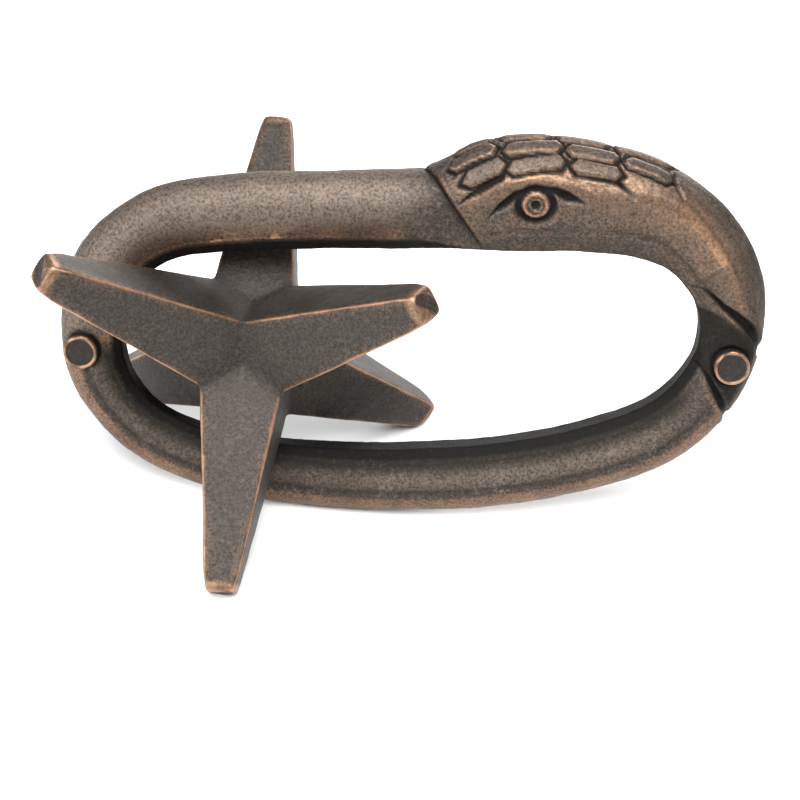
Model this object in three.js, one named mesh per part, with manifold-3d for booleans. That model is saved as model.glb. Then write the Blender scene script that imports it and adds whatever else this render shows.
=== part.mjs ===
// Ring-and-jack disentanglement puzzle: a cast oval ring shaped as a snake biting its tail,
// two cross pins pressed through it, and a cast six-legged jack threaded on the ring.
// Millimetres, +Z up.  The jack stands on three leg ends, the ring leans back between its legs.
import * as THREE from 'three';
import { mergeVertices } from 'three/addons/utils/BufferGeometryUtils.js';
import Module from 'manifold-3d';

const wasm = await Module();
wasm.setup();

// ---- jack -------------------------------------------------------------------------------
const LEG_REACH = 26.5;      // centre of the jack to the end of a leg
const ROOT_HALF = 7.2;       // half diagonal of the square leg at the centre
const TIP_HALF = 2.4;        // half diagonal of the square leg at its end
const TIP_CHAMFER = 0.45;    // worn corner round the end face

// ---- ring -------------------------------------------------------------------------------
const LEAN = THREE.MathUtils.degToRad(18.5);   // the ring leans back from upright
const RING_OFFSET = 0.3;     // ring mid plane in front of the jack's centre
const RING_RISE = 0.6;      // ring up the slope, so that it stands on the table
const RING_ACROSS = 0.0;     // ring along its length
const THICK_RATIO = 0.8;    // bar thickness across the ring plane, to its width
const CROWN_AT = 0.3;        // highest line of the face, in half widths towards the outside
const CORNER_RISE = 0.62;    // height of the inner edge of the face, in half thicknesses
const STATIONS = 112;        // sections round the ring

// Centreline seen from the front, from the jack's centre: across, up the slope,
// half width to the inside, half width to the outside.
const BODY = [
  [-16.7, 0.4, 3.1, 3.7],
  [-15.2, 6.8, 3.2, 3.9],
  [-10.2, 11.8, 3.5, 4.0],
  [-1.5, 14.2, 3.8, 4.0],
  [9.5, 15.5, 3.9, 4.0],
  [17.5, 16.3, 4.0, 4.3],
  [22.5, 16.8, 4.1, 6.2],
  [28.0, 17.3, 4.2, 7.0],
  [34.0, 17.7, 4.2, 6.4],
  [39.8, 17.4, 4.1, 5.5],
  [45.2, 15.0, 3.7, 4.8],
  [49.0, 10.4, 3.4, 4.0],
  [50.1, 4.8, 3.3, 3.3],
  [48.7, -0.2, 3.3, 3.4],
  [44.8, -5.2, 3.5, 3.7],
  [37.0, -9.3, 3.6, 3.8],
  [27.0, -12.2, 3.6, 3.9],
  [16.0, -13.8, 3.5, 3.8],
  [5.0, -14.1, 3.2, 3.8],
  [-4.8, -13.0, 3.0, 3.6],
  [-11.8, -9.8, 2.8, 3.5],
  [-15.6, -5.0, 2.9, 3.6],
];
const HEAD_FROM = [17.5, 16.3];
const HEAD_SWELL = 0.9;      // extra half thickness at the widest part of the head

// ---- cross pins -------------------------------------------------------------------------
const PIN_RADIUS = 1.85;
const PIN_FIT = 0.3;
const PIN_PROUD = 0.9;       // how far a pin stands out of the face around it
const PIN_CHAMFER = 0.3;
const LEFT_PIN = [-17.6, -1.6];
const RIGHT_PIN = [50.3, 2.9];

// ---- mouth and tail grooves ---------------------------------------------------------------
// Each groove: inner end, outer end, width at the outer end, depth.
const GROOVES = [
  { from: [45.6, 11.0], to: [53.6, 3.6], width: 1.9, depth: 1.3 },
  { from: [45.8, 3.6], to: [51.2, -4.4], width: 1.9, depth: 1.3 },
];

const group = new THREE.Group();
group.name = 'ring_and_jack_puzzle';

// ---- helpers ----------------------------------------------------------------------------
function toManifold(geometry) {
  const g = geometry.clone();
  g.deleteAttribute('normal');
  g.deleteAttribute('uv');
  const m = mergeVertices(g, 1e-4);
  return new wasm.Manifold(new wasm.Mesh({
    numProp: 3,
    vertProperties: new Float32Array(m.attributes.position.array),
    triVerts: new Uint32Array(m.index.array),
  }));
}

function fromManifold(solid) {
  const mesh = solid.getMesh();
  const g = new THREE.BufferGeometry();
  g.setAttribute('position', new THREE.BufferAttribute(new Float32Array(mesh.vertProperties), 3));
  g.setIndex(new THREE.BufferAttribute(new Uint32Array(mesh.triVerts), 1));
  return g;
}

function addPart(name, geometry, color, roughness, metalness) {
  const flat = geometry.index ? geometry.toNonIndexed() : geometry;
  flat.computeVertexNormals();
  const material = new THREE.MeshStandardMaterial({ color, roughness, metalness });
  const mesh = new THREE.Mesh(flat, material);
  mesh.name = name;
  group.add(mesh);
  return mesh;
}

// ---- jack: three double-ended tapered square bars crossing at right angles -------------------
function doubleBar() {
  const profile = [
    [0, -LEG_REACH],
    [TIP_HALF - TIP_CHAMFER, -LEG_REACH],
    [TIP_HALF, -LEG_REACH + TIP_CHAMFER],
    [ROOT_HALF, 0],
    [TIP_HALF, LEG_REACH - TIP_CHAMFER],
    [TIP_HALF - TIP_CHAMFER, LEG_REACH],
    [0, LEG_REACH],
  ].map(([r, y]) => new THREE.Vector2(r, y));
  return new THREE.LatheGeometry(profile, 4);
}

function jackGeometry() {
  const along = doubleBar();
  const bars = [
    toManifold(along),
    toManifold(along.clone().rotateX(Math.PI / 2)),
    toManifold(along.clone().rotateZ(Math.PI / 2)),
  ];
  return fromManifold(wasm.Manifold.union(bars));
}

// Leg directions in the standing pose: two upper front legs and one lower front leg.
const THIRD = 1 / Math.sqrt(3);
const LEG_LEFT = new THREE.Vector3(-Math.SQRT1_2, -Math.SQRT1_2 * THIRD, THIRD);
const LEG_RIGHT = new THREE.Vector3(Math.SQRT1_2, -Math.SQRT1_2 * THIRD, THIRD);
const LEG_DOWN = new THREE.Vector3(0, -Math.SQRT2 * THIRD, -THIRD);
const stand = new THREE.Matrix4().makeBasis(LEG_RIGHT, LEG_LEFT, LEG_DOWN.clone());
if (stand.determinant() < 0) {
  stand.makeBasis(LEG_LEFT, LEG_RIGHT, LEG_DOWN.clone());
}
addPart('jack_six_legged', jackGeometry().applyMatrix4(stand), 0x5b5049, 0.42, 0.85);

// ---- ring plane ---------------------------------------------------------------------------
const across = new THREE.Vector3(1, 0, 0);
const upSlope = new THREE.Vector3(0, Math.sin(LEAN), Math.cos(LEAN));
const facing = new THREE.Vector3().crossVectors(across, upSlope);
const ringPlane = new THREE.Matrix4().makeBasis(across, upSlope, facing);
ringPlane.setPosition(new THREE.Vector3()
  .addScaledVector(across, RING_ACROSS)
  .addScaledVector(upSlope, RING_RISE)
  .addScaledVector(facing, RING_OFFSET));

// ---- ring body: one section shape swept round the centreline ----------------------------------
const centre = new THREE.CatmullRomCurve3(
  BODY.map(([x, y]) => new THREE.Vector3(x, y, 0)), true, 'centripetal');
const widths = new THREE.CatmullRomCurve3(
  BODY.map(([, , inside, outside]) => new THREE.Vector3(inside, outside, 0)), true, 'catmullrom');

function headSwell(point) {
  const t = THREE.MathUtils.smoothstep(point.x, HEAD_FROM[0], HEAD_FROM[0] + 8);
  const fall = 1 - THREE.MathUtils.smoothstep(point.x, 36, 49);
  return point.y > 8 ? HEAD_SWELL * t * fall : 0;
}

// Half section from the outermost point over the face to the middle of the inner wall,
// as [outward, towards the face].
function halfSection(inside, outside, half) {
  const points = [];
  const crown = CROWN_AT * outside;
  const arcSteps = 6;
  for (let i = 0; i <= arcSteps; i++) {
    const angle = (i / arcSteps) * Math.PI / 2;
    points.push([crown + (outside - crown) * Math.cos(angle), half * Math.sin(angle)]);
  }
  const slopeSteps = 3;
  const edge = -0.86 * inside;
  for (let i = 1; i <= slopeSteps; i++) {
    const t = i / slopeSteps;
    points.push([crown + (edge - crown) * t, half * (1 - (1 - CORNER_RISE) * t ** 1.8)]);
  }
  points.push([-inside, half * CORNER_RISE * 0.72]);
  return points;
}

function ringBody() {
  const positions = [];
  const indices = [];
  let count = 0;
  for (let s = 0; s < STATIONS; s++) {
    const t = s / STATIONS;
    const c = centre.getPoint(t);
    const d = centre.getTangent(t);
    const w = widths.getPoint(t);
    const out = new THREE.Vector3(-d.y, d.x, 0).normalize();
    const half = THICK_RATIO * (w.x + Math.min(w.y, w.x)) / 2 + headSwell(c);
    const front = halfSection(w.x, w.y, half);
    const back = front.slice(1).reverse().map(([p, q]) => [p, -q]);
    const loop = front.concat(back);
    count = loop.length;
    for (const [p, q] of loop) {
      positions.push(c.x + out.x * p, c.y + out.y * p, q);
    }
  }
  for (let s = 0; s < STATIONS; s++) {
    const next = (s + 1) % STATIONS;
    for (let i = 0; i < count; i++) {
      const j = (i + 1) % count;
      const a = s * count + i;
      const b = s * count + j;
      const e = next * count + i;
      const f = next * count + j;
      indices.push(a, b, e, b, f, e);
    }
  }
  const g = new THREE.BufferGeometry();
  g.setAttribute('position', new THREE.Float32BufferAttribute(positions, 3));
  g.setIndex(indices);
  return g;
}

function faceHeightAt([x, y]) {
  let best = 1e9;
  let height = 0;
  for (let s = 0; s < 400; s++) {
    const t = s / 400;
    const c = centre.getPoint(t);
    const gap = Math.hypot(c.x - x, c.y - y);
    if (gap < best) {
      const w = widths.getPoint(t);
      best = gap;
      height = THICK_RATIO * (w.x + Math.min(w.y, w.x)) / 2 + headSwell(c);
    }
  }
  return height;
}

function pinAt(spot) {
  const reach = faceHeightAt(spot) + PIN_PROUD;
  const profile = [
    [0, -reach],
    [PIN_RADIUS - PIN_CHAMFER, -reach],
    [PIN_RADIUS, -reach + PIN_CHAMFER],
    [PIN_RADIUS, reach - PIN_CHAMFER],
    [PIN_RADIUS - PIN_CHAMFER, reach],
    [0, reach],
  ].map(([r, z]) => new THREE.Vector2(r, z));
  const g = new THREE.LatheGeometry(profile, 36);
  g.rotateX(Math.PI / 2);
  g.translate(spot[0], spot[1], 0);
  return g;
}

function pinHole(spot) {
  const g = new THREE.CylinderGeometry(PIN_RADIUS + PIN_FIT, PIN_RADIUS + PIN_FIT, 20, 36);
  g.rotateX(Math.PI / 2);
  g.translate(spot[0], spot[1], 0);
  return g;
}

// A wedge groove lying across the body, opening towards its outer end.
function grooveCutter({ from, to, width, depth }, side) {
  const dx = to[0] - from[0];
  const dy = to[1] - from[1];
  const length = Math.hypot(dx, dy);
  const shape = new THREE.Shape([
    new THREE.Vector2(0, -0.15),
    new THREE.Vector2(length, -width / 2),
    new THREE.Vector2(length, width / 2),
    new THREE.Vector2(0, 0.15),
  ]);
  const g = new THREE.ExtrudeGeometry(shape, { depth: 6, bevelEnabled: false });
  g.rotateZ(Math.atan2(dy, dx));
  const middle = [(from[0] + to[0]) / 2, (from[1] + to[1]) / 2];
  const floor = faceHeightAt(middle) - depth;
  g.translate(from[0], from[1], side > 0 ? floor : -floor - 6);
  return g;
}

let ring = toManifold(ringBody());
for (const spot of [LEFT_PIN, RIGHT_PIN]) {
  ring = ring.subtract(toManifold(pinHole(spot)));
}
for (const groove of GROOVES) {
  for (const side of [1, -1]) {
    ring = ring.subtract(toManifold(grooveCutter(groove, side)));
  }
}
addPart('snake_ring', fromManifold(ring).applyMatrix4(ringPlane), 0x6a5a4c, 0.4, 0.85);
addPart('cross_pin_left', pinAt(LEFT_PIN).applyMatrix4(ringPlane), 0x7a5640, 0.4, 0.85);
addPart('cross_pin_right', pinAt(RIGHT_PIN).applyMatrix4(ringPlane), 0x7a5640, 0.4, 0.85);

// ---- origin at the middle of the footprint, lowest point on Z = 0 -------------------------------
const box = new THREE.Box3().setFromObject(group);
const mid = box.getCenter(new THREE.Vector3());
for (const mesh of group.children) {
  mesh.geometry.translate(-mid.x, -mid.y, -box.min.z);
}

export default group;
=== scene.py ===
"""Metal ring puzzle: a six-legged jack caught in a closed snake ring, both cast in an antique copper finish.

All shapes are worked out in millimetres and written to the meshes in metres.
"""
import math

import bmesh
import bpy
import numpy as np
from mathutils import Matrix, Vector


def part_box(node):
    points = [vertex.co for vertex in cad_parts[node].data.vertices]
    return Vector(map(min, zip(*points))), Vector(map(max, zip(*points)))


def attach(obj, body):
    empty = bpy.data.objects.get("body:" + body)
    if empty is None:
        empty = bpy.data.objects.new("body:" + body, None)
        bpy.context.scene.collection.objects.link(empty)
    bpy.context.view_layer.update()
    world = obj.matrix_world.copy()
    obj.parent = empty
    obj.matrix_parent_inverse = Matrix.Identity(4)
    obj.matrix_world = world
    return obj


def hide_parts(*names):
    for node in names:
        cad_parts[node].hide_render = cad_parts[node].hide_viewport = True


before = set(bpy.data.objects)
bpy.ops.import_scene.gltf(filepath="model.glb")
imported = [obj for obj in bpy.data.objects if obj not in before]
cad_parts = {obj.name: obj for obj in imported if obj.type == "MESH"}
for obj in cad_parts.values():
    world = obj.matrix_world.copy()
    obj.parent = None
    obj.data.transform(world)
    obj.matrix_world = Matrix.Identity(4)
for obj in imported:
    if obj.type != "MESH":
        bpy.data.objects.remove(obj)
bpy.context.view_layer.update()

MM = 0.001

# ---- driving dimensions in mm: the CAD part's own, apart from WALL_RISE and the four BODY_ ratios ----
LEG_REACH = 26.5         # from the jack's middle to the end of a leg
ROOT_HALF = 7.2          # half the diagonal of a leg's square section at the jack's middle
TIP_HALF = 2.4           # the same at the tip
LEAN = math.radians(18.5)
RING_OFFSET = 0.3        # ring's middle plane in front of the jack's middle
RING_RISE = 0.6          # ring up its slope
THICK_RATIO = 0.8        # thickness of the bar to its width
CROWN_AT = 0.3           # the highest line of the face, in half widths outwards
CORNER_AT = 0.86         # the inner edge of the face, in half widths inwards
CORNER_RISE = 0.62       # its height, in half thicknesses
WALL_RISE = 0.66         # height where the inner wall begins, to the corner's
# crown, corner, corner height and wall height of the bar away from the head, where it is rounder
BODY_CROWN = 0.06
BODY_CORNER = 0.62
BODY_RISE = 0.76
BODY_WALL = 0.4
SLOPE_POWER = 1.8
HEAD_SWELL = 0.9         # extra half thickness at the widest part of the head
SWELL_IN = (17.5, 25.5)  # across, where it begins and is full
SWELL_OUT = (36, 49)     # across, where it falls off
PIN_RADIUS = 1.85
PIN_PROUD = 0.9          # how far a pin stands out of the face round it
LEFT_PIN = (-17.6, -1.6)
RIGHT_PIN = (50.3, 2.9)
# across, up, half width towards the opening, half width outwards
BODY = np.array([
    (-16.7, 0.4, 3.1, 3.7),
    (-15.2, 6.8, 3.2, 3.9),
    (-10.2, 11.8, 3.5, 4.0),
    (-1.5, 14.2, 3.8, 4.0),
    (9.5, 15.5, 3.9, 4.0),
    (17.5, 16.3, 4.0, 4.3),
    (22.5, 16.8, 4.1, 6.2),
    (28.0, 17.3, 4.2, 7.0),
    (34.0, 17.7, 4.2, 6.4),
    (39.8, 17.4, 4.1, 5.5),
    (45.2, 15.0, 3.7, 4.8),
    (49.0, 10.4, 3.4, 4.0),
    (50.1, 4.8, 3.3, 3.3),
    (48.7, -0.2, 3.3, 3.4),
    (44.8, -5.2, 3.5, 3.7),
    (37.0, -9.3, 3.6, 3.8),
    (27.0, -12.2, 3.6, 3.9),
    (16.0, -13.8, 3.5, 3.8),
    (5.0, -14.1, 3.2, 3.8),
    (-4.8, -13.0, 3.0, 3.6),
    (-11.8, -9.8, 2.8, 3.5),
    (-15.6, -5.0, 2.9, 3.6),
])

# ---- the shared frame: the jack's middle, its leg directions and the ring's plane ----
jack_low, jack_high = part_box("jack_six_legged")
CENTRE = np.array([(low + high) / 2 for low, high in zip(jack_low, jack_high)]) / MM
LEFT_LEG = np.array((-math.sqrt(1 / 2), -math.sqrt(1 / 6), math.sqrt(1 / 3)))
RIGHT_LEG = np.array((math.sqrt(1 / 2), -math.sqrt(1 / 6), math.sqrt(1 / 3)))
DOWN_LEG = np.array((0.0, -math.sqrt(2 / 3), -math.sqrt(1 / 3)))
JACK_AXES = np.stack([LEFT_LEG, RIGHT_LEG, DOWN_LEG])
ACROSS = np.array((1.0, 0.0, 0.0))
UP_SLOPE = np.array((0.0, math.sin(LEAN), math.cos(LEAN)))
FACING = np.array((0.0, -math.cos(LEAN), math.sin(LEAN)))
RING_ORIGIN = CENTRE + UP_SLOPE * RING_RISE + FACING * RING_OFFSET


# ---- small maths ----
def smooth(x, a, b):
    t = np.clip((x - a) / (b - a), 0, 1)
    return t * t * (3 - 2 * t)


def bump(x, width):
    return np.exp(-(x / width) ** 2)


def ripple(points, size, seed, waves=16):
    """A smooth uneven field of about unit height, whose features are about size mm across."""
    rng = np.random.default_rng(seed)
    directions = rng.normal(size=(waves, 3))
    directions /= np.linalg.norm(directions, axis=1)[:, None]
    pitch = 2 * math.pi / size * rng.uniform(0.6, 1.5, waves)
    phase = rng.uniform(0, 2 * math.pi, waves)
    total = np.zeros(points.shape[:-1])
    for d, k, p in zip(directions, pitch, phase):
        total += np.sin(points @ (d * k) + p)
    return total / math.sqrt(waves / 2)


def stroke(x, y, path):
    """Height field of a tapering line. path holds (x, y, half width, height) points."""
    field = np.zeros_like(x)
    for (x0, y0, w0, h0), (x1, y1, w1, h1) in zip(path, path[1:]):
        dx, dy = x1 - x0, y1 - y0
        t = np.clip(((x - x0) * dx + (y - y0) * dy) / (dx * dx + dy * dy), 0, 1)
        away = np.hypot(x - x0 - t * dx, y - y0 - t * dy) / (w0 + (w1 - w0) * t)
        field = np.maximum(field, (h0 + (h1 - h0) * t) * (1 - smooth(away, 0.35, 1.15)))
    return field


def hexagon(x, y, centre, half_length, half_height, tilt):
    """Signed distance, about, to an elongated six-sided scale with pointed ends; negative inside."""
    dx, dy = x - centre[0], y - centre[1]
    along = np.abs(dx * math.cos(tilt) + dy * math.sin(tilt))
    aside = np.abs(dy * math.cos(tilt) - dx * math.sin(tilt))
    ends = (along - half_length) * 0.78 + aside * 0.62
    return np.maximum(aside - half_height, ends)


# ---- mesh building ----
def mesh_object(name, points, faces, attributes):
    mesh = bpy.data.meshes.new(name)
    counts = np.array([len(f) for f in faces], dtype=np.int32)
    loops = np.concatenate([np.asarray(f, dtype=np.int32) for f in faces])
    mesh.vertices.add(len(points))
    mesh.vertices.foreach_set("co", (np.asarray(points) * MM).astype(np.float32).ravel())
    mesh.loops.add(len(loops))
    mesh.loops.foreach_set("vertex_index", loops)
    mesh.polygons.add(len(faces))
    starts = np.concatenate([[0], np.cumsum(counts)[:-1]]).astype(np.int32)
    mesh.polygons.foreach_set("loop_start", starts)
    mesh.polygons.foreach_set("loop_total", counts)
    mesh.update(calc_edges=True)
    mesh.validate()
    for key, values in attributes.items():
        layer = mesh.attributes.new(key, "FLOAT", "POINT")
        layer.data.foreach_set("value", np.asarray(values, dtype=np.float32).ravel())
    mesh.polygons.foreach_set("use_smooth", np.ones(len(faces), dtype=bool))
    obj = bpy.data.objects.new(name, mesh)
    bpy.context.scene.collection.objects.link(obj)
    return obj


def grid_faces(rows, columns, close_rows=False, offset=0):
    """Quads of a grid whose columns close on themselves."""
    i = np.arange(rows if close_rows else rows - 1)[:, None]
    j = np.arange(columns)[None, :]
    a = i * columns + j
    b = i * columns + (j + 1) % columns
    c = ((i + 1) % rows) * columns + (j + 1) % columns
    d = ((i + 1) % rows) * columns + j
    return (np.stack(np.broadcast_arrays(a, b, c, d), -1) + offset).reshape(-1, 4)


# ---- the snake ring ----
ARC_STEPS = 34
SLOPE_STEPS = 25
CORNER_STEPS = 5
WALL_STEPS = 8
HEAD_SPAN = (40.0, 92.0)   # length along the ring that carries the head and the bitten tail
HEAD_STEP = 0.145
BODY_STEP = 0.43


def spline(points, t, centripetal):
    n = len(points)
    place = (t % 1.0) * n
    i = np.floor(place).astype(int) % n
    w = (place - np.floor(place))[:, None]
    p0, p1, p2, p3 = (points[(i + k) % n] for k in (-1, 0, 1, 2))
    if centripetal:
        d0, d1, d2 = (
            np.sqrt(np.linalg.norm(b - a, axis=1))[:, None] for a, b in ((p0, p1), (p1, p2), (p2, p3))
        )
        t1 = ((p1 - p0) / d0 - (p2 - p0) / (d0 + d1) + (p2 - p1) / d1) * d1
        t2 = ((p2 - p1) / d1 - (p3 - p1) / (d1 + d2) + (p3 - p2) / d2) * d1
    else:
        t1 = (p2 - p0) / 2
        t2 = (p3 - p1) / 2
    return (2 * p1 - 2 * p2 + t1 + t2) * w**3 + (3 * p2 - 3 * p1 - 2 * t1 - t2) * w**2 + t1 * w + p1


def head_swell(centre):
    x = centre[:, 0]
    return np.where(centre[:, 1] > 8, HEAD_SWELL * smooth(x, *SWELL_IN) * (1 - smooth(x, *SWELL_OUT)), 0)


def stations():
    """Parameters and lengths along the ring, closer together on the head."""
    t = np.linspace(0, 1, 4001)
    line = spline(BODY[:, :2], t, True)
    length = np.concatenate([[0], np.cumsum(np.linalg.norm(np.diff(line, axis=0), axis=1))])
    density = np.where((length > HEAD_SPAN[0]) & (length < HEAD_SPAN[1]), 1 / HEAD_STEP, 1 / BODY_STEP)
    count = np.concatenate([[0], np.cumsum((density[1:] + density[:-1]) / 2 * np.diff(length))])
    wanted = np.linspace(0, count[-1], int(count[-1]), endpoint=False)
    s = np.interp(wanted, count, length)
    return np.interp(s, length, t), s


def section(inside, outside, half, head):
    """Half section, from the outermost point to the middle of the inner wall: outward p and height q.

    The body is rounder than the head and has a slanted inner wall; head is 1 on the head and 0 on the body.
    """
    crown = (BODY_CROWN + (CROWN_AT - BODY_CROWN) * head) * outside
    corner = BODY_CORNER + (CORNER_AT - BODY_CORNER) * head
    rise = BODY_RISE + (CORNER_RISE - BODY_RISE) * head
    wall = BODY_WALL + (CORNER_RISE * WALL_RISE - BODY_WALL) * head
    edge = -corner * inside
    p, q = [], []
    for a in np.linspace(0, math.pi / 2, ARC_STEPS):
        p.append(crown + (outside - crown) * math.cos(a))
        q.append(half * math.sin(a))
    for t in np.linspace(0, 1, SLOPE_STEPS + 1)[1:]:
        p.append(crown + (edge - crown) * t)
        q.append(half * (1 - (1 - rise) * t**SLOPE_POWER))
    for t in np.linspace(0, 1, CORNER_STEPS + 1)[1:]:
        p.append(edge + (-inside - edge) * (1 - (1 - t) ** (1 + head)))
        q.append(half * (rise + (wall - rise) * t ** (1 + head)))
    for t in np.linspace(0, 1, WALL_STEPS + 1)[1:]:
        p.append(-inside)
        q.append(half * wall * (1 - t))
    return np.stack(p, 1), np.stack(q, 1)


def ring_surface():
    """Points of the plain ring, with the length s, the girth g and the place (u, v) in its plane of each."""
    t, s = stations()
    centre = spline(BODY[:, :2], t, True)
    width = spline(BODY[:, 2:], t, False)
    step = 1e-4
    ahead = spline(BODY[:, :2], t + step, True) - spline(BODY[:, :2], t - step, True)
    ahead /= np.linalg.norm(ahead, axis=1)[:, None]
    outward = np.stack([-ahead[:, 1], ahead[:, 0]], 1)
    inside, outside = width.T
    half = THICK_RATIO * (inside + np.minimum(outside, inside)) / 2 + head_swell(centre)
    head = smooth(s, 41, 47) * (1 - smooth(s, 80, 86))
    p, q = section(inside, outside, half, head)
    steps = np.hypot(np.diff(p, axis=1, prepend=p[:, :1]), np.diff(q, axis=1, prepend=q[:, :1]))
    girth = np.cumsum(steps, axis=1)
    back = slice(-2, 0, -1)
    p = np.concatenate([p, p[:, back]], 1)
    q = np.concatenate([q, -q[:, back]], 1)
    g = np.concatenate([girth, -girth[:, back]], 1)
    u = centre[:, :1] + outward[:, :1] * p
    v = centre[:, 1:] + outward[:, 1:] * p
    points = RING_ORIGIN + u[..., None] * ACROSS + v[..., None] * UP_SLOPE + q[..., None] * FACING
    g_face = girth[:, ARC_STEPS - 1][:, None] + 0 * g
    g_corner = girth[:, ARC_STEPS - 1 + SLOPE_STEPS][:, None] + 0 * g
    return points, s[:, None] + 0 * g, g, g_face, g_corner, u, v


def grid_normals(points):
    along = np.roll(points, -1, 0) - np.roll(points, 1, 0)
    around = np.roll(points, -1, 1) - np.roll(points, 1, 1)
    normal = np.cross(around, along)
    return normal / np.linalg.norm(normal, axis=-1)[..., None]


# the head's relief: places are (length along the ring, girth from its outermost line), and all is in mm
EYE = (53.1, 8.2)
IRIS_RIM = 1.12            # radius of the raised rim of the iris
LOWER_LID = 2.5            # radius of the lower lid, from the middle of the eye
MOAT_DEPTH = 0.55
PUPIL_DEPTH = 0.32
COLLAR_START = 41.9
COLLAR_SLANT = 0.46
COLLAR_RISE = 0.38
CROWN_RISE = 0.38
SCALE_RISE = 0.06
SCALE_LINE_DEPTH = 0.45
FAR_FROM_SCALES = 9.0
SEAT_DEPTH = 0.4           # of the sunk seat round each pin
SEAM_RISE = 0.09
# centre (length, girth), half length, half height, tilt
SCALES = [
    ((53.1, 3.92), 3.0, 0.86, -0.16),
    ((58.85, 3.85), 2.5, 0.84, 0.02),
    ((52.8, 1.95), 3.05, 0.82, -0.1),
    ((58.45, 1.98), 2.6, 0.8, 0.0),
    ((63.25, 2.3), 2.1, 0.76, 0.1),
    ((52.0, 0.0), 2.75, 0.84, 0.0),
    ((57.5, 0.0), 2.65, 0.84, 0.0),
    ((62.8, 0.0), 2.55, 0.82, 0.0),
    ((46.9, 0.0), 2.2, 0.84, 0.0),
    ((46.9, 2.0), 2.5, 0.84, -0.14),
    ((48.0, 4.15), 2.35, 1.0, -0.2),
]
# strokes: (length, girth, half width, height or depth)
LID = [
    (48.3, 8.9, 0.12, 0.25), (49.6, 7.95, 0.42, 0.6), (51.2, 6.95, 0.6, 0.7), (53.1, 6.45, 0.45, 0.6),
    (55.1, 6.45, 0.5, 0.65), (56.2, 6.9, 0.62, 0.7), (57.8, 7.35, 0.2, 0.3),
]
BROW = [
    (46.6, 7.9, 0.6, 0.05), (48.6, 6.5, 0.85, 0.18), (50.3, 5.75, 0.9, 0.24), (52.1, 5.45, 0.85, 0.27),
    (54.0, 5.4, 0.85, 0.27), (55.8, 5.75, 0.85, 0.25), (57.4, 6.3, 0.8, 0.16), (59.6, 7.2, 0.8, 0.02),
]
SLASHES = [
    [(45.0, 3.55, 0.12, 0.15), (46.6, 3.05, 0.34, 0.55), (48.9, 2.75, 0.3, 0.4)],
    [(45.6, 6.4, 0.2, 0.3), (47.6, 5.85, 0.42, 0.6), (49.6, 5.15, 0.42, 0.6), (50.1, 3.9, 0.36, 0.5),
     (49.9, 2.9, 0.3, 0.4)],
    [(59.6, 4.75, 0.3, 0.4), (61.0, 4.75, 0.32, 0.45), (62.6, 5.95, 0.16, 0.15)],
    [(61.0, 3.3, 0.26, 0.4), (61.0, 4.75, 0.3, 0.45)],
    [(65.0, 2.4, 0.3, 0.4), (66.6, 3.75, 0.14, 0.12)],
    [(65.4, 0.9, 0.1, 0.1), (65.3, 1.8, 0.24, 0.3), (65.0, 2.4, 0.28, 0.4)],
]
MOUTH = [
    (47.9, 10.9, 0.3, 0.2), (55.8, 11.0, 0.3, 0.16), (59.9, 10.3, 0.28, 0.14), (62.5, 9.8, 0.28, 0.18),
    (66.2, 8.9, 0.3, 0.2), (70.3, 8.6, 0.3, 0.2), (74.0, 8.0, 0.3, 0.2), (76.9, 6.6, 0.2, 0.1),
]
SNOUT = [
    (57.6, 6.1, 0.6, 0.0), (60.8, 5.5, 0.9, 0.12), (64.2, 4.7, 1.0, 0.18), (67.1, 4.1, 1.0, 0.24),
    (70.7, 4.4, 0.85, 0.28), (75.1, 4.1, 0.75, 0.3), (78.5, 3.3, 0.65, 0.2), (80.2, 2.9, 0.5, 0.08),
]
JAW = [
    (73.6, 9.2, 0.14, 0.2), (74.7, 8.0, 0.22, 0.35), (75.9, 7.3, 0.28, 0.5), (77.5, 6.3, 0.36, 0.65),
    (78.8, 4.9, 0.48, 0.85), (80.4, 2.9, 0.64, 1.0), (82.0, 1.2, 0.7, 0.5), (82.6, 0.0, 0.6, 0.2),
]
JAW_EDGE = [(79.4, 5.7, 0.25, 0.1), (81.0, 3.9, 0.32, 0.26), (82.6, 2.0, 0.32, 0.26)]
TAIL = [
    (85.2, 8.2, 0.14, 0.2), (85.5, 7.2, 0.24, 0.4), (86.1, 6.0, 0.32, 0.55), (87.0, 4.6, 0.38, 0.7),
    (88.0, 2.6, 0.48, 0.7), (88.7, 0.9, 0.45, 0.3), (88.9, 0.0, 0.4, 0.12),
]
TAIL_EDGE = [
    (86.4, 7.3, 0.25, 0.06), (87.5, 5.2, 0.34, 0.16), (88.6, 3.2, 0.36, 0.2), (89.5, 1.0, 0.36, 0.16),
]


class RingSkin:
    """The ring's surface while its relief is cut.

    s is the length along the ring. a is the way round the bar from its outermost line, the same on the front
    and on the back. sag is the height added to the plain surface. Three more drive the patina: wear bares
    brown and copper, one paints shade into the colour, and one paints a sheen of the light tone.
    """

    def __init__(self):
        self.points, self.s, g, self.g_face, self.g_corner, self.u, self.v = ring_surface()
        self.a = np.abs(g)
        self.sag = np.zeros_like(self.s)
        self.painted_shade = np.zeros_like(self.s)
        self.wear = np.zeros_like(self.s)
        self.painted_sheen = np.zeros_like(self.s)
        self.patch = 0.5 + 0.5 * np.clip(ripple(self.points, 3.0, 11), -1, 1)
        self.head = smooth(self.s, 43, 47) * (1 - smooth(self.s, 79, 82))
        self.lower = smooth(self.s, 84, 92) * (1 - smooth(self.s, 161, 164))
        self.upper = 1 - smooth(self.s, 38, 44) + smooth(self.s, 162, 164)

    def darken(self, amount):
        self.painted_shade = np.maximum(self.painted_shade, amount)

    def wear_and_painted_sheen(self, amount):
        self.wear = np.maximum(self.wear, amount)


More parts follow.
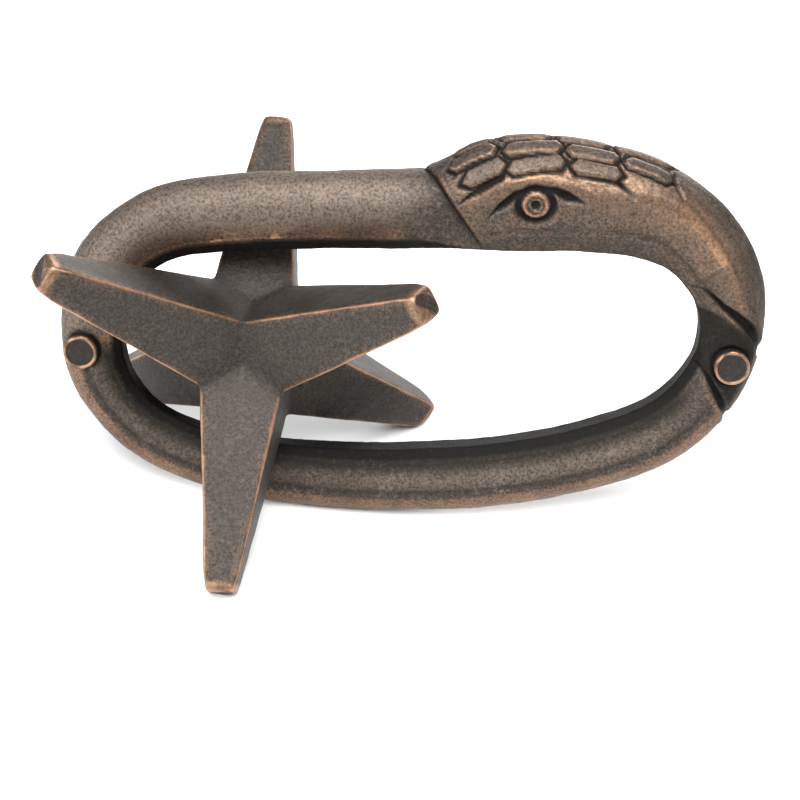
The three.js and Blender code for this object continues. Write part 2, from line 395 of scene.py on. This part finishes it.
def cut_scales(skin):
    """Raised plates, each in a sunk line. Returns the distance to a plate, the lines and the plates."""
    s, a = skin.s, skin.a
    nearest = np.full_like(s, FAR_FROM_SCALES)
    for centre, half_length, half_height, tilt in SCALES:
        nearest = np.minimum(nearest, hexagon(s, a, centre, half_length, half_height, tilt))
    line = smooth(nearest, -0.12, 0.05) * (1 - smooth(nearest, 0.18, 0.42))
    scaled = smooth(-nearest, -0.05, 0.5)
    skin.sag -= SCALE_LINE_DEPTH * line
    skin.sag += SCALE_RISE * scaled
    # painted shade in the sunk lines between the plates
    skin.darken(line)
    skin.wear_and_painted_sheen(0.3 * scaled)
    # painted shade over the plates, holding down their highlight
    skin.darken(0.3 * smooth(-nearest, 0.15, 0.5))
    skin.wear_and_painted_sheen(0.66 * bump(nearest + 0.2, 0.14))
    skin.sag += CROWN_RISE * smooth(s, 43, 48) * (1 - smooth(s, 60, 70)) * bump(a, 3.0)
    return nearest, line, scaled


def raise_collar(skin):
    """The lip where the head's skin ends over the neck, with a painted shadow before it on the neck."""
    s, a = skin.s, skin.a
    past = s - COLLAR_START - COLLAR_SLANT * a
    on_front = 1 - smooth(a, skin.g_corner - 0.6, skin.g_corner + 0.4)
    lip = smooth(past, 0.0, 0.3) * (1 - smooth(past, 0.4, 4.0)) * smooth(a, -1.0, 4.5)
    skin.sag += COLLAR_RISE * lip * on_front
    skin.sag -= 0.2 * bump(past + 0.12, 0.28) * on_front
    skin.sag -= 0.16 * smooth(past, -2.4, -0.1) * (1 - smooth(past, -0.1, 0.2)) * on_front
    # painted shadow of the lip: a dark line at its foot and softer shade on the neck before it
    skin.darken(0.95 * bump(past + 0.05, 0.22) * on_front)
    skin.darken(0.5 * smooth(past, -2.0, 0.0) * (1 - smooth(past, 0.0, 0.1)) * on_front)
    skin.wear_and_painted_sheen(0.5 * bump(past - 0.45, 0.3) * on_front)


def carve_eye(skin):
    """The eye in its moat, under a lid and a brow."""
    s, a = skin.s, skin.a
    r = np.hypot(s - EYE[0], a - EYE[1])
    moat = smooth(r, 1.36, 1.5) * (1 - smooth(r, 1.9, 2.3))
    lid = stroke(s, a - 0.2, LID)
    skin.sag -= np.maximum(MOAT_DEPTH * moat, lid) * smooth(r, 1.3, 1.5)
    iris = 1 - smooth(r, 1.32, 1.42)
    skin.sag += iris * (0.12 * bump(r - IRIS_RIM, 0.17) - 0.04)
    skin.sag -= PUPIL_DEPTH * (1 - smooth(r, 0.36, 0.6))
    # painted shade in the moat, under the lid and in the pupil's hollow, and a thin dark ring inside the iris
    skin.darken(np.minimum(1, np.maximum(moat, lid * 1.9)) * smooth(r, 1.3, 1.46))
    skin.darken(1 - smooth(r, 0.4, 0.58))
    skin.darken(0.75 * iris * bump(r - 0.83, 0.13))
    skin.wear_and_painted_sheen(iris * (0.5 + 0.3 * bump(r - IRIS_RIM, 0.2)))
    lower_lid = bump(r - LOWER_LID, 0.22) * smooth(a - EYE[1], -0.2, 1.0)
    skin.sag += 0.08 * lower_lid
    skin.wear_and_painted_sheen(0.5 * lower_lid)

    brow = stroke(s, a, BROW)
    skin.sag += brow * (1 - smooth(lid, 0.05, 0.3))
    skin.wear_and_painted_sheen(2.5 * brow * (1 - smooth(lid, 0.02, 0.2)))


def cut_slashes(skin, nearest, line):
    """The tapering cuts that run on from the scales' corners."""
    for path in SLASHES:
        cut = stroke(skin.s, skin.a, path)
        skin.sag -= smooth(nearest, -0.15, 0.15) * np.maximum(0, cut - 0.45 * line)
        # painted shade in the cuts, strongest off the plates
        skin.darken(np.minimum(1, cut * 2.6) * (0.15 + 0.85 * smooth(nearest, -0.2, 0.05)))


def shape_snout(skin):
    """The mouth line with its lip, and the ridge along the snout."""
    s, a = skin.s, skin.a
    mouth = stroke(s, a, MOUTH)
    skin.sag -= 0.8 * mouth
    # painted shade in the mouth line
    skin.darken(2.2 * mouth)
    under = stroke(s, a - 0.55, MOUTH)
    skin.sag += 0.4 * under
    skin.wear_and_painted_sheen(1.8 * under)
    snout = stroke(s, a - 0.65, SNOUT)
    skin.sag += 0.8 * snout
    skin.sag -= 0.3 * smooth(s, 64, 70) * (1 - smooth(s, 78, 82)) * bump(a - 1.7, 1.1)
    skin.wear_and_painted_sheen((2.5 + 0.5 * skin.patch) * snout)


def cut_bite(skin):
    """The two deep grooves beside the block between the jaw and the tail's end. Returns the block, 0 to 1."""
    s, a = skin.s, skin.a
    for path, edge in ((JAW, JAW_EDGE), (TAIL, TAIL_EDGE)):
        cut = stroke(s, a, path)
        raised = stroke(s, a, edge)
        skin.sag += 0.5 * raised * (1 - smooth(cut, 0.1, 0.4))
        skin.sag -= cut
        # painted shade in each groove
        skin.darken(np.minimum(1, cut * 1.7))
        skin.wear_and_painted_sheen(2.9 * raised * (1 - smooth(cut, 0.05, 0.3)))
    after_jaw = smooth(s + 0.75 * (a - 4), 79.6, 80.8)
    before_tail = 1 - smooth(s + 0.45 * (a - 4), 86.6, 87.2)
    block = after_jaw * before_tail
    # painted shade over the block between the grooves
    skin.darken(0.8 * block * smooth(a, 1.2, 2.6))
    skin.wear = skin.wear * (1 - 0.6 * block * (1 - smooth(skin.wear, 0.3, 0.6)))
    return block


def sink_pin_seats(skin):
    for spot in (LEFT_PIN, RIGHT_PIN):
        around = np.hypot(skin.u - spot[0], skin.v - spot[1])
        seat = (1 - smooth(around, PIN_RADIUS - 0.05, PIN_RADIUS + 0.4)) * smooth(skin.a, 0.8, 1.6)
        skin.sag -= SEAT_DEPTH * seat
        # painted shadow in the sunk seat round the pin
        skin.darken(0.95 * seat)


def mark_seam(skin):
    """The crisp parting edge between the sloped face and the inner wall, and painted shade on that wall.
    Returns the wall, 0 to 1.
    """
    place = skin.a - skin.g_corner
    seam = bump(place - 0.1, 0.16)
    skin.sag += SEAM_RISE * seam
    skin.wear_and_painted_sheen(seam * (0.25 + 0.5 * skin.patch) * (0.45 + 0.55 * skin.lower))
    wall = smooth(place, 0.15, 0.6)
    # painted shade on the inner wall, a little lighter on the head
    skin.darken(0.9 * wall * (1 - 0.2 * skin.head))
    return wall


def age_ring(skin, scaled, wall, block):
    """Casting unevenness, the wear of handling, and painted shade and a painted sheen."""
    points, s, a = skin.points, skin.s, skin.a
    g_face, g_corner, lower, upper = skin.g_face, skin.g_corner, skin.lower, skin.upper
    uneven = 0.022 * ripple(points, 12, 1) + 0.018 * ripple(points, 3.2, 2)
    skin.sag += uneven + 0.009 * ripple(points, 1.1, 3)

    # the lower bar: worn outside, with painted shade on the worn band and in a shallow groove, grey with
    # painted shade towards the opening
    outer = 1 - smooth(a, 0.62 * g_face, 0.8 * g_face)
    groove = 0.12 * bump(a - 0.86 * g_face, 0.45) * lower
    skin.sag -= groove
    skin.darken(4.2 * groove)
    skin.wear_and_painted_sheen((0.62 + 0.1 * skin.patch) * outer * lower)
    skin.darken(0.33 * outer * lower)

    # the upper bar: browner towards the opening, with a worn lower edge
    skin.wear_and_painted_sheen((0.2 + 0.3 * smooth(a, 0.6 * g_corner, 0.95 * g_corner)) * upper)
    under_edge = smooth(a, g_corner - 2.2, g_corner - 0.8) * (1 - 0.5 * wall) * upper
    skin.wear_and_painted_sheen(under_edge * (0.42 + 0.2 * skin.patch))
    # painted shade on the lower bar's face, deepening towards the opening
    skin.darken(0.7 * smooth(a, g_face - 0.3, g_corner) * lower)

    # the head: copper along the cheek, painted shade below it
    cheek = 0.22 + 0.34 * bump(a - 5.2, 3.0) * (1 - smooth(a, 9.0, 10.6))
    skin.wear_and_painted_sheen((cheek + 0.03 * ripple(points, 2.8, 6)) * skin.head * (1 - scaled))
    skin.darken(0.4 * smooth(a, 9.2, g_corner) * skin.head)
    chips = np.clip(ripple(points, 2.6, 5) - 0.9, 0, 1) * bump(a - g_corner + 0.1, 0.5)
    skin.wear_and_painted_sheen(1.8 * chips * smooth(s, 8, 12) * (1 - smooth(s, 26, 32)))

    # painted sheen of the light tone: over the upper bar fading before its inner edge, as a highlight along
    # the lower bar's crown and its right end, and along the head's cheek; none on the inner wall or the block
    crown = bump(a - 1.15 * g_face, 0.24 * g_face)
    right_end = smooth(s, 92, 98) * (1 - smooth(s, 112, 140))
    upper_sheen = 0.85 * upper * (1 - smooth(a, g_face + 0.5, g_corner))
    skin.painted_sheen = upper_sheen + 0.3 * lower * crown + 0.4 * right_end * crown
    head_sheen = (0.2 + 0.6 * bump(a - 5.0, 2.0)) * skin.head
    skin.painted_sheen = np.maximum(skin.painted_sheen, head_sheen) * (1 - wall) * (1 - block)


def build_ring():
    skin = RingSkin()
    nearest, line, scaled = cut_scales(skin)
    raise_collar(skin)
    carve_eye(skin)
    cut_slashes(skin, nearest, line)
    shape_snout(skin)
    block = cut_bite(skin)
    sink_pin_seats(skin)
    wall = mark_seam(skin)
    age_ring(skin, scaled, wall, block)

    points = skin.points + grid_normals(skin.points) * skin.sag[..., None]
    rows, columns = skin.s.shape
    obj = mesh_object(
        "snake_ring_casting", points.reshape(-1, 3), grid_faces(rows, columns, close_rows=True),
        {key: np.clip(getattr(skin, key), 0, 1) for key in ("wear", "painted_shade", "painted_sheen")},
    )
    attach(obj, "ring")
    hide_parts("snake_ring")
    return obj


# ---- the jack ----
LEG_AROUND = 112
LEG_ALONG = 92
RIDGE_ROUND = 0.24         # rounding of the ridges along a leg
CREASE_ROUND = 0.4         # of the creases between legs
TIP_ROUND = 0.55           # of the edge round a leg's end
TIP_SOFT = 0.22            # what the ridges gain in rounding near the end
END_RINGS = 18             # rings of points across a leg's end
# an even painted sheen of the light tone over the whole jack
JACK_SHEEN = 0.12
WELD_DISTANCE = 0.004
MARK_RADIUS = 1.15
MARK_DEPTH = 0.1


def leg_half(z):
    return ROOT_HALF - (ROOT_HALF - TIP_HALF) * z / LEG_REACH


def smooth_max(a, b, k):
    return np.maximum(a, b) + np.maximum(k - np.abs(a - b), 0) ** 2 / (4 * k)


def tip_mark(x, y):
    """Depth of the small D-shaped mark that the gate left on each leg's end."""
    d = np.maximum(np.hypot(x * 1.15, y * 0.75) - MARK_RADIUS, x - 0.45)
    return MARK_DEPTH * (1 - smooth(d, -0.12, 0.08))


def jack_field(p):
    """Below zero inside the jack. p is in the jack's own axes, one along each pair of legs."""
    fields = []
    for k in range(3):
        z = np.abs(p[..., k])
        x = p[..., (k + 1) % 3]
        y = p[..., (k + 2) % 3]
        soft = RIDGE_ROUND + TIP_SOFT * smooth(z, LEG_REACH - 2.2, LEG_REACH)
        side = (np.sqrt(x**2 + soft**2) + np.sqrt(y**2 + soft**2) - leg_half(z)) / math.sqrt(2)
        end = z - LEG_REACH + tip_mark(x, y)
        fields.append(smooth_max(side, end, TIP_ROUND))
    first = -smooth_max(-fields[0], -fields[1], CREASE_ROUND)
    return -smooth_max(-first, -fields[2], CREASE_ROUND)


def settle(p, rounds=5):
    """Moves points onto the jack's rounded surface."""
    h = 0.01
    for _ in range(rounds):
        value = jack_field(p)
        slope = np.stack([
            (jack_field(p + h * axis) - jack_field(p - h * axis)) / (2 * h) for axis in np.eye(3)
        ], -1)
        p = p - (value / np.maximum((slope**2).sum(-1), 0.2))[..., None] * slope
    return p, slope / np.linalg.norm(slope, axis=-1)[..., None]


def leg_grid():
    """One leg along +z, from the creases it shares with its neighbours to the middle of its end."""
    quarter = np.linspace(-1, 1, LEG_AROUND // 4, endpoint=False)
    spread = np.sign(quarter) * np.abs(quarter) ** 1.35
    angle = np.concatenate([math.pi / 2 * k + math.pi / 4 * spread for k in range(4)])
    c, sn = np.cos(angle), np.sin(angle)
    reach = np.maximum(np.abs(c), np.abs(sn)) / (np.abs(c) + np.abs(sn))
    taper = (ROOT_HALF - TIP_HALF) / LEG_REACH
    start = ROOT_HALF * reach / (1 + taper * reach)
    rows = []
    for t in np.linspace(0, 1, LEG_ALONG):
        z = start + (LEG_REACH - start) * (1 - (1 - t) ** 1.12)
        r = leg_half(z) / (np.abs(c) + np.abs(sn))
        rows.append(np.stack([r * c, r * sn, z], -1))
    rim = TIP_HALF / (np.abs(c) + np.abs(sn))
    for t in np.linspace(0.94, 0.0, END_RINGS):
        r = np.maximum(rim * t, 0.02)
        rows.append(np.stack([r * c, r * sn, LEG_REACH + 0 * c], -1))
    return np.stack(rows)


def build_jack():
    grid = leg_grid()
    rows, columns, _ = grid.shape
    local, faces = [], []
    for k in range(3):
        for sign in (1, -1):
            p = np.zeros_like(grid)
            p[..., k] = grid[..., 2] * sign
            p[..., (k + 1) % 3] = grid[..., 0]
            p[..., (k + 2) % 3] = grid[..., 1]
            quads = grid_faces(rows, columns, offset=len(local) * rows * columns)
            last = (np.arange(columns) + (rows - 1) * columns) + len(local) * rows * columns
            if sign > 0:
                faces.extend(quads.tolist())
                faces.append(last.tolist())
            else:
                faces.extend(quads[:, ::-1].tolist())
                faces.append(last[::-1].tolist())
            local.append(p.reshape(-1, 3))
    local = np.concatenate(local)
    local, normal = settle(local)

    # wear on the ridges and round the ends
    size = np.sort(np.abs(local), axis=1)        # small, middle and large offsets from the leg axes
    along, beside, offside = size[:, 2], size[:, 1], size[:, 0]
    to_tip = LEG_REACH - along
    ridge = (beside - offside > 0) * bump(offside, np.clip(0.2 + 0.05 * ripple(local, 4.0, 21), 0.12, 0.35))
    free = smooth(along - beside, 0.05, 0.9)     # fades in the creases between legs
    rough = 0.6 + 0.4 * np.clip(ripple(local, 1.6, 22), -1, 1)
    wear = np.clip(ridge * free * (0.85 + 0.25 * rough), 0, 1)
    rim = smooth(-to_tip, -1.7, -0.5)
    wear = np.maximum(wear, rim * (0.6 + 0.2 * rough))
    wear = np.maximum(wear, free * (0.3 * bump(offside, 0.9) + 0.1 * smooth(along, 14, 26)))

    # the gate marks on the ends with painted shade round their sunk edge, and painted shade in the creases
    # and hollows between legs
    mark = np.zeros(len(local))
    for k in range(3):
        here = np.abs(local[:, k]) > LEG_REACH - 0.9
        mark = np.where(here, tip_mark(local[:, (k + 1) % 3], local[:, (k + 2) % 3]) / MARK_DEPTH, mark)
    wear = wear * (1 - 0.7 * mark)
    painted_shade = 0.05 * mark + 0.9 * mark * (1 - mark)
    crease = bump(along - beside, 0.6) * smooth(beside, 1.0, 3.0)
    painted_shade = np.maximum(painted_shade, 0.35 * crease)
    hollow = bump(along - beside, 3.6) * smooth(beside, 0.8, 3.5)
    painted_shade = np.maximum(painted_shade, 0.34 * hollow)
    fine = 0.01 * ripple(local, 2.6, 24) + 0.004 * ripple(local, 0.9, 25)
    sag = 0.02 * ripple(local, 9, 23) + fine * (1 - 0.7 * ridge)
    local = local + normal * (sag * smooth(to_tip, -0.2, 1.0))[:, None]
    points = CENTRE + local @ JACK_AXES
    obj = mesh_object("jack_casting", points, faces, {
        "wear": np.clip(wear, 0, 1),
        "painted_shade": np.clip(painted_shade, 0, 1),
        "painted_sheen": JACK_SHEEN + 0 * wear,
    })
    weld(obj)
    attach(obj, "jack")
    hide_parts("jack_six_legged")
    return obj


def weld(obj):
    """Joins the edges that neighbouring legs share and turns every face outwards."""
    bm = bmesh.new()
    bm.from_mesh(obj.data)
    bmesh.ops.remove_doubles(bm, verts=bm.verts, dist=WELD_DISTANCE * MM)
    bmesh.ops.recalc_face_normals(bm, faces=bm.faces)
    bm.to_mesh(obj.data)
    bm.free()
    obj.data.polygons.foreach_set("use_smooth", np.ones(len(obj.data.polygons), dtype=bool))


# ---- the pins ----
PIN_AROUND = 96
RIM_ROUND = 0.28
RIM_WIDTH = 0.42
DISH = 0.14                # how deep the flat face lies inside its rim


def face_height(spot):
    """Half the ring's thickness at a pin."""
    t = np.linspace(0, 1, 2000, endpoint=False)
    centre = spline(BODY[:, :2], t, True)
    width = spline(BODY[:, 2:], t, False)
    i = np.argmin(np.hypot(centre[:, 0] - spot[0], centre[:, 1] - spot[1]))
    inside, outside = width[i]
    return THICK_RATIO * (inside + min(outside, inside)) / 2


def pin_profile(reach):
    """(radius, height, wear, painted shade) from the middle of the front face to the middle of the back face.
    """
    half = [(0.02, reach - DISH, 0.0, 0.3)]
    for r in np.linspace(0.15, PIN_RADIUS - RIM_WIDTH - 0.12, 12):
        half.append((r, reach - DISH, 0.0, 0.3))
    half.append((PIN_RADIUS - RIM_WIDTH, reach - 0.7 * DISH, 0.3, 0.5))
    half.append((PIN_RADIUS - RIM_WIDTH + 0.1, reach - 0.1 * DISH, 0.85, 0.0))
    for a in np.linspace(math.pi / 2, 0, 7):
        r = PIN_RADIUS - RIM_ROUND + RIM_ROUND * math.cos(a)
        half.append((r, reach - RIM_ROUND + RIM_ROUND * math.sin(a), 0.95, 0.0))
    # below the rim, painted shade deepening down the side into the seat
    for d in (0.15, 0.3, 0.5):
        half.append((PIN_RADIUS, reach - RIM_ROUND - d, max(0.0, 0.7 - 1.6 * d), 0.9 * d))
    for z in np.linspace(reach - 1.2, 0.0, 6, endpoint=False):
        half.append((PIN_RADIUS, z, 0.0, 0.6))
    return half + [(r, -z, w, d) for r, z, w, d in reversed(half)]


def build_pin(name, node, spot, seed):
    reach = face_height(spot) + PIN_PROUD
    profile = pin_profile(reach)
    angle = np.linspace(0, 2 * math.pi, PIN_AROUND, endpoint=False)
    rows, wear, painted_shade = [], [], []
    for r, z, w, d in profile:
        spot_points = np.stack([r * np.cos(angle), r * np.sin(angle), z + 0 * angle], -1)
        dent = ripple(spot_points, 1.7, seed)
        scale = 1 - 0.012 * np.abs(dent)
        low = z - 0.025 * np.abs(dent) * np.sign(z)
        x = spot[0] + r * scale * np.cos(angle)
        y = spot[1] + r * scale * np.sin(angle)
        rows.append(RING_ORIGIN + x[:, None] * ACROSS + y[:, None] * UP_SLOPE + low[:, None] * FACING)
        wear.append(np.clip(w * (0.85 + 0.25 * dent), 0, 1))
        painted_shade.append(d + 0 * angle)
    points = np.concatenate(rows)
    count = len(profile)
    faces = grid_faces(count, PIN_AROUND).tolist()
    faces.append(list(range(PIN_AROUND)))
    faces.append(list(range((count - 1) * PIN_AROUND, count * PIN_AROUND))[::-1])
    wear, painted_shade = np.concatenate(wear), np.concatenate(painted_shade)
    obj = mesh_object(name, points, faces, {"wear": wear, "painted_shade": painted_shade, "painted_sheen": 0 * wear})
    weld(obj)
    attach(obj, "ring")
    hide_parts(node)
    return obj


# ---- the finish: dark patina over copper ----
def patina(name, deep, mid, light, spread, seed):
    """Antique finish: three tones of oxide, then brown and bare copper where the wear attribute is high, a
    painted sheen of the light tone, and painted shade towards a near black.

    spread is how much the grain breaks up the edge of the wear, and seed shifts the grain.
    """
    mat = bpy.data.materials.new(name)
    mat.use_nodes = True
    nodes, links = mat.node_tree.nodes, mat.node_tree.links
    shader = nodes["Principled BSDF"]

    def attribute(key):
        node = nodes.new("ShaderNodeAttribute")
        node.attribute_name = key
        return node.outputs["Fac"]

    coords = nodes.new("ShaderNodeTexCoord").outputs["Object"]

    def noise(scale, detail, roughness, shift):
        move = nodes.new("ShaderNodeMapping")
        move.inputs["Location"].default_value = (shift + seed, shift * 0.7, seed * 0.3)
        links.new(coords, move.inputs["Vector"])
        node = nodes.new("ShaderNodeTexNoise")
        node.inputs["Scale"].default_value = scale
        node.inputs["Detail"].default_value = detail
        node.inputs["Roughness"].default_value = roughness
        links.new(move.outputs["Vector"], node.inputs["Vector"])
        return node.outputs["Fac"]

    def math_node(kind, a, b=None, clamp=False):
        node = nodes.new("ShaderNodeMath")
        node.operation = kind
        node.use_clamp = clamp
        for socket, value in zip(node.inputs, (a, b)):
            if value is None:
                continue
            if isinstance(value, (int, float)):
                socket.default_value = value
            else:
                links.new(value, socket)
        return node.outputs[0]

    def ramp(value, low, high):
        node = nodes.new("ShaderNodeMapRange")
        node.interpolation_type = "SMOOTHSTEP"
        node.inputs["From Min"].default_value = low
        node.inputs["From Max"].default_value = high
        links.new(value, node.inputs["Value"])
        return node.outputs["Result"]

    def mix(factor, a, b):
        node = nodes.new("ShaderNodeMix")
        node.data_type = "RGBA"
        links.new(factor, node.inputs["Factor"])
        for socket, value in ((node.inputs["A"], a), (node.inputs["B"], b)):
            if isinstance(value, tuple):
                socket.default_value = (*value, 1)
            else:
                links.new(value, socket)
        return node.outputs["Result"]

    wear = attribute("wear")
    painted_shade = attribute("painted_shade")
    speckle = noise(GRAIN, 3.0, 0.7, 3.1)
    fleck = noise(GRAIN * 0.55, 3.0, 0.6, 7.7)
    blotch = noise(230, 3.0, 0.55, 1.3)

    colour = mix(ramp(speckle, 0.36, 0.66), deep, mid)
    pale = math_node("MULTIPLY", ramp(fleck, 0.5, 0.72), ramp(blotch, 0.3, 0.75))
    colour = mix(math_node("MULTIPLY", pale, 0.6), colour, light)
    # painted sheen: the light tone mixed in by the sheen attribute
    wear_and_painted_sheen = math_node("MULTIPLY", attribute("painted_sheen"), ramp(speckle, 0.2, 0.85))
    colour = mix(math_node("MULTIPLY", wear_and_painted_sheen, 0.95), colour, light)
    swing = math_node("MULTIPLY", math_node("SUBTRACT", speckle, 0.5), spread)
    swing = math_node("ADD", swing, math_node("MULTIPLY", math_node("SUBTRACT", blotch, 0.5), 0.16))
    rubbed = math_node("ADD", wear, swing)
    # no brown or copper where shade is painted
    unshaded = math_node("SUBTRACT", 1.0, painted_shade, clamp=True)
    worn = math_node("MULTIPLY", ramp(rubbed, 0.15, 0.75), unshaded, clamp=True)
    colour = mix(worn, colour, BROWN)
    bright = math_node("MULTIPLY", ramp(rubbed, 0.5, 1.15), unshaded, clamp=True)
    colour = mix(bright, colour, COPPER)
    # painted shade: the colour darkened towards a near black
    sunk = ramp(painted_shade, 0.1, 1.0)
    colour = mix(math_node("MULTIPLY", sunk, 0.93), colour, SHADE_COLOUR)
    links.new(colour, shader.inputs["Base Color"])

    metal = math_node("ADD", math_node("MULTIPLY", worn, 0.25), 0.7, clamp=True)
    links.new(metal, shader.inputs["Metallic"])
    rough = math_node("ADD", 0.46, math_node("MULTIPLY", speckle, 0.24))
    rough = math_node("SUBTRACT", rough, math_node("MULTIPLY", worn, 0.12))
    rough = math_node("ADD", rough, math_node("MULTIPLY", sunk, 0.15), clamp=True)
    links.new(rough, shader.inputs["Roughness"])
    shader.inputs["Specular IOR Level"].default_value = 0.3

    relief = nodes.new("ShaderNodeBump")
    relief.inputs["Strength"].default_value = 0.5
    relief.inputs["Distance"].default_value = GRAIN_HEIGHT * MM
    height = math_node("ADD", speckle, math_node("MULTIPLY", fleck, 1.2))
    links.new(height, relief.inputs["Height"])
    links.new(relief.outputs["Normal"], shader.inputs["Normal"])
    return mat


GRAIN = 3500.0               # noise scale that gives grains of about a third of a millimetre
GRAIN_HEIGHT = 0.06          # in mm
# near-black colour of painted shade
SHADE_COLOUR = (0.004, 0.0042, 0.0036)
BROWN = (0.145, 0.09, 0.06)
COPPER = (0.38, 0.215, 0.13)
RING_FINISH = patina(
    "ring_patina", (0.027, 0.0217, 0.0174), (0.06, 0.048, 0.039), (0.21, 0.168, 0.136), 1.35, 1.0,
)
JACK_FINISH = patina(
    "jack_patina", (0.026, 0.022, 0.019), (0.052, 0.0445, 0.0385), (0.11, 0.092, 0.08), 0.8, 2.0,
)
PIN_FINISH = patina(
    "pin_patina", (0.024, 0.021, 0.0185), (0.036, 0.032, 0.028), (0.06, 0.053, 0.047), 0.8, 3.0,
)

ring = build_ring()
jack = build_jack()
pins = [
    build_pin("pin_left", "cross_pin_left", LEFT_PIN, 31),
    build_pin("pin_right", "cross_pin_right", RIGHT_PIN, 32),
]
ring.data.materials.append(RING_FINISH)
jack.data.materials.append(JACK_FINISH)
for pin in pins:
    pin.data.materials.append(PIN_FINISH)


# ---- floor, light and camera ----
def plain_material(name, colour, roughness):
    mat = bpy.data.materials.new(name)
    mat.use_nodes = True
    shader = mat.node_tree.nodes["Principled BSDF"]
    shader.inputs["Base Color"].default_value = (*colour, 1)
    shader.inputs["Roughness"].default_value = roughness
    shader.inputs["Specular IOR Level"].default_value = 0.1
    return mat


def build_floor():
    half = 12.0
    mesh = bpy.data.meshes.new("floor")
    mesh.from_pydata(
        [(-half, -half, 0), (half, -half, 0), (half, half, 0), (-half, half, 0)], [], [(0, 1, 2, 3)]
    )
    mesh.materials.append(plain_material("pale_floor", (0.93, 0.93, 0.925), 0.9))
    floor = bpy.data.objects.new("floor", mesh)
    bpy.context.scene.collection.objects.link(floor)


def soft_light(name, azimuth, elevation, distance, size, power):
    """An area light that looks at the object. Azimuth 0 is in front of it, 90 on its right."""
    az, el = math.radians(azimuth), math.radians(elevation)
    place = Vector((math.sin(az) * math.cos(el), -math.cos(az) * math.cos(el), math.sin(el))) * distance
    lamp = bpy.data.lights.new(name, "AREA")
    lamp.shape = "DISK"
    lamp.size = size
    lamp.energy = power
    obj = bpy.data.objects.new(name, lamp)
    obj.location = place
    obj.rotation_euler = (-place).to_track_quat("-Z", "Y").to_euler()
    bpy.context.scene.collection.objects.link(obj)


VIEW_AZIMUTH = math.radians(-2.24)
VIEW_ELEVATION = math.radians(38.88)
VIEW_ROLL = math.radians(3.574)
VIEW_DISTANCE = 179.6 * MM
AIM = Vector((-0.3, 0.0, 11.1)) * MM
LENS = 74.5


def build_camera():
    ahead = Vector((
        math.sin(VIEW_AZIMUTH) * math.cos(VIEW_ELEVATION),
        math.cos(VIEW_AZIMUTH) * math.cos(VIEW_ELEVATION),
        -math.sin(VIEW_ELEVATION),
    ))
    level = ahead.cross(Vector((0, 0, 1))).normalized()
    upward = level.cross(ahead)
    right = level * math.cos(VIEW_ROLL) + upward * math.sin(VIEW_ROLL)
    top = right.cross(ahead)
    data = bpy.data.cameras.new("camera")
    data.lens = LENS
    data.sensor_width = 36
    data.clip_start = 0.01
    data.clip_end = 20
    camera = bpy.data.objects.new("camera", data)
    turn = Matrix((right, top, -ahead)).transposed().to_4x4()
    camera.matrix_world = Matrix.Translation(AIM - ahead * VIEW_DISTANCE) @ turn
    bpy.context.scene.collection.objects.link(camera)
    bpy.context.scene.camera = camera


build_floor()
soft_light("key_top_front", 0, 68, 0.55, 0.46, 6.6)
soft_light("fill_left", -50, 20, 0.6, 0.4, 2.6)
soft_light("fill_right", 62, 34, 0.6, 0.4, 0.3)
soft_light("rim_back", 165, 24, 0.7, 0.5, 5.0)
world = bpy.data.worlds.new("world")
world.use_nodes = True
world.node_tree.nodes["Background"].inputs["Color"].default_value = (0.95, 0.97, 1.0, 1)
world.node_tree.nodes["Background"].inputs["Strength"].default_value = 0.38
bpy.context.scene.world = world
bpy.context.scene.view_settings.view_transform = "Standard"
build_camera()
